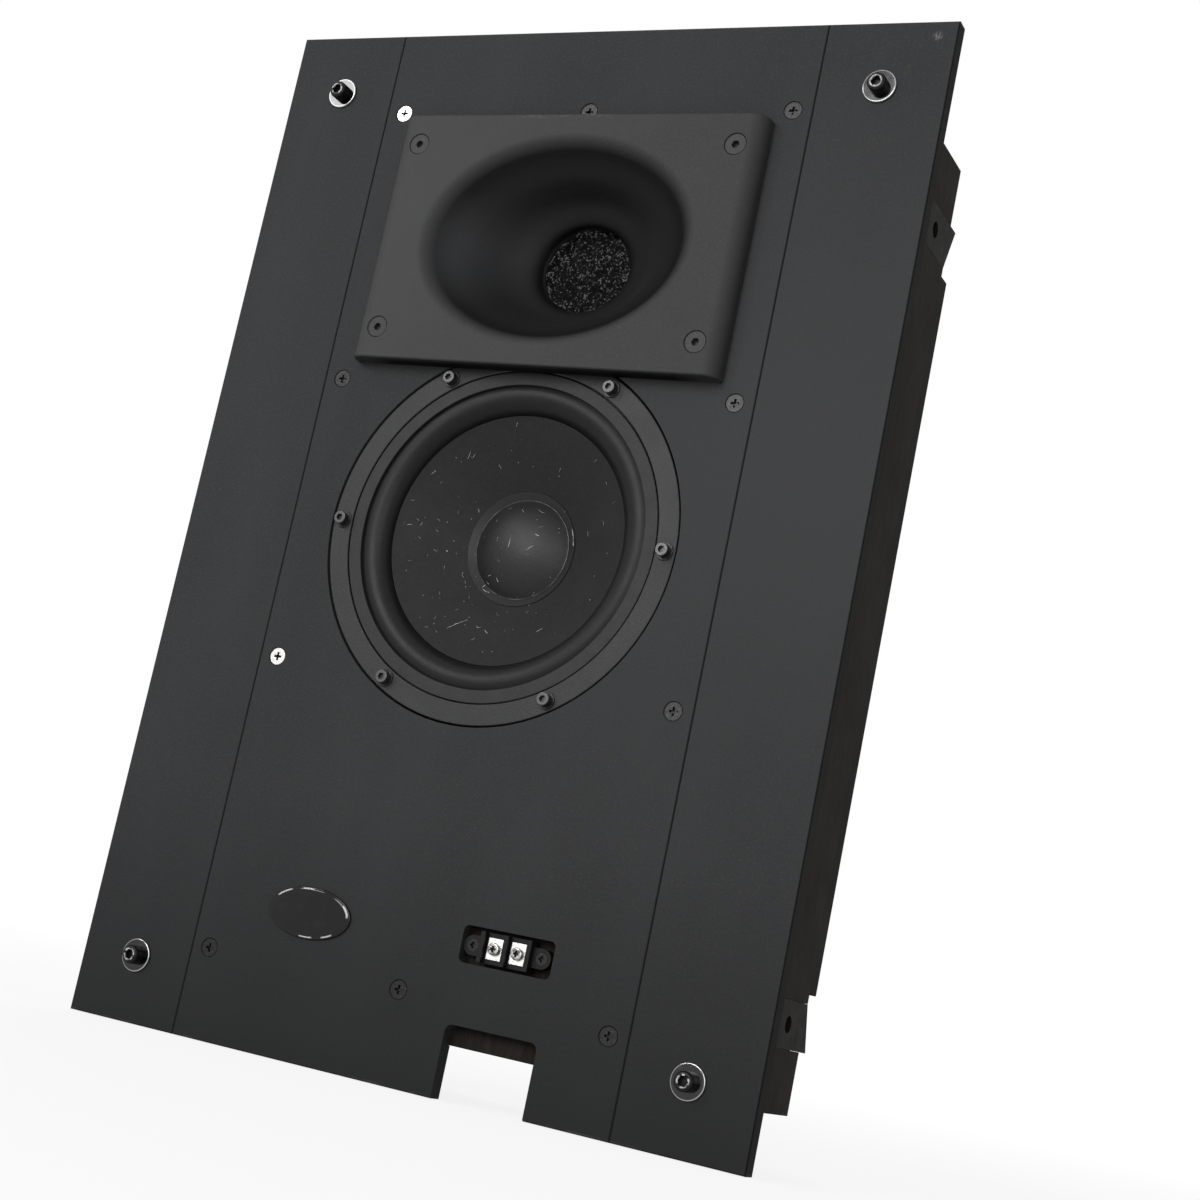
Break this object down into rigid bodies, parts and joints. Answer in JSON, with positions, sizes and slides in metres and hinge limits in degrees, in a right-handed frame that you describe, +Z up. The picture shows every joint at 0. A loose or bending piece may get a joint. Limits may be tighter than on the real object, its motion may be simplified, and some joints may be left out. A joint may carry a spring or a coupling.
{
  "type": "in wall speaker",
  "caption": "Flush in-wall loudspeaker: black board front with an elliptical horn above a round woofer, a terminal strip and a cable notch, on a shallow cabinet with stud clips.",
  "frame": {"origin": "middle of the front panel's back plane, where its flange meets the wall's surface", "axes": "+X to the right seen from the room, +Y into the wall, +Z up"},
  "size_m": [0.4, 0.145, 0.58],
  "materials": {
    "black_board": "satin black paint on board, fine roller texture",
    "cabinet_board": "brownish black stain on board",
    "black_plastic": "matte moulded plastic",
    "basket_paint": "black powder coat",
    "clip_paint": "black paint",
    "black_steel": "black oxide",
    "bright_steel": "bright zinc",
    "plain_steel": "plain turned steel",
    "brass": "turned brass",
    "copper": "enamelled copper wire",
    "rubber": "satin black rubber",
    "paper": "coated black paper pulp",
    "spider_cloth": "pressed treated cloth",
    "foam": "open-cell black foam",
    "felt": "grey felt",
    "ferrite": "sintered ferrite",
    "thin_metal": "rolled foil",
    "pcb": "green solder mask",
    "capacitor_film": "yellow film wrap",
    "resistor_ceramic": "white cast ceramic",
    "badge_gloss": "gloss black",
    "lead_jacket": "black jacket"
  },
  "bodies": {
    "cabinet": {"access_cover": "cabinet_board", "badge": "badge_gloss", "baffle_screws_black": "black_steel", "baffle_screws_bright": "bright_steel", "cabinet_bottom": "cabinet_board", "cabinet_left": "cabinet_board", "cabinet_right": "cabinet_board", "cabinet_top": "cabinet_board", "centre_baffle": "black_board", "clip_lower_left": "clip_paint", "clip_lower_right": "clip_paint", "clip_screws": "black_steel", "clip_upper_left": "clip_paint", "clip_upper_right": "clip_paint", "corner_bolts": "black_steel", "corner_washers": "bright_steel", "cover_screws": "black_steel", "crossover_board": "pcb", "crossover_capacitors": "capacitor_film", "crossover_coil": "copper", "crossover_resistor": "resistor_ceramic", "crossover_standoffs": "black_plastic", "driver_cap": "black_plastic", "driver_diaphragm": "thin_metal", "driver_magnet": "ferrite", "driver_phase_plug": "black_plastic", "driver_screws": "black_steel", "driver_throat_plate": "plain_steel", "driver_yoke": "plain_steel", "foam_plug": "foam", "insert_nuts": "brass", "lead_driver": "lead_jacket", "lead_terminal": "lead_jacket", "lead_woofer": "lead_jacket", "left_strip": "black_board", "rear_board": "cabinet_board", "right_strip": "black_board", "side_linings": "felt", "sub_baffle": "cabinet_board", "terminal_block": "black_plastic", "terminal_fixings": "black_steel", "terminal_plates": "bright_steel", "terminal_screws": "bright_steel", "waveguide": "black_plastic", "waveguide_screws": "black_steel", "woofer_frame": "basket_paint", "woofer_gasket": "rubber", "woofer_magnet": "ferrite", "woofer_screws": "black_steel", "woofer_spider": "spider_cloth", "woofer_surround": "rubber", "woofer_tag": "brass", "woofer_top_plate": "plain_steel", "woofer_trim_ring": "basket_paint", "woofer_washers": "black_steel", "woofer_yoke": "plain_steel"},
    "cone": {"woofer_cone": "paper", "dust_cap": "paper", "coil_former": "thin_metal", "coil_winding": "copper"}
  },
  "joints": [
    {"name": "cone_travel", "type": "slide", "parent": "cabinet", "child": "cone", "axis": [0, 1, 0], "range_m": [-0.005, 0.005], "stiffness_N_per_m": 2000, "deforming": ["woofer_surround", "woofer_spider"]}
  ]
}
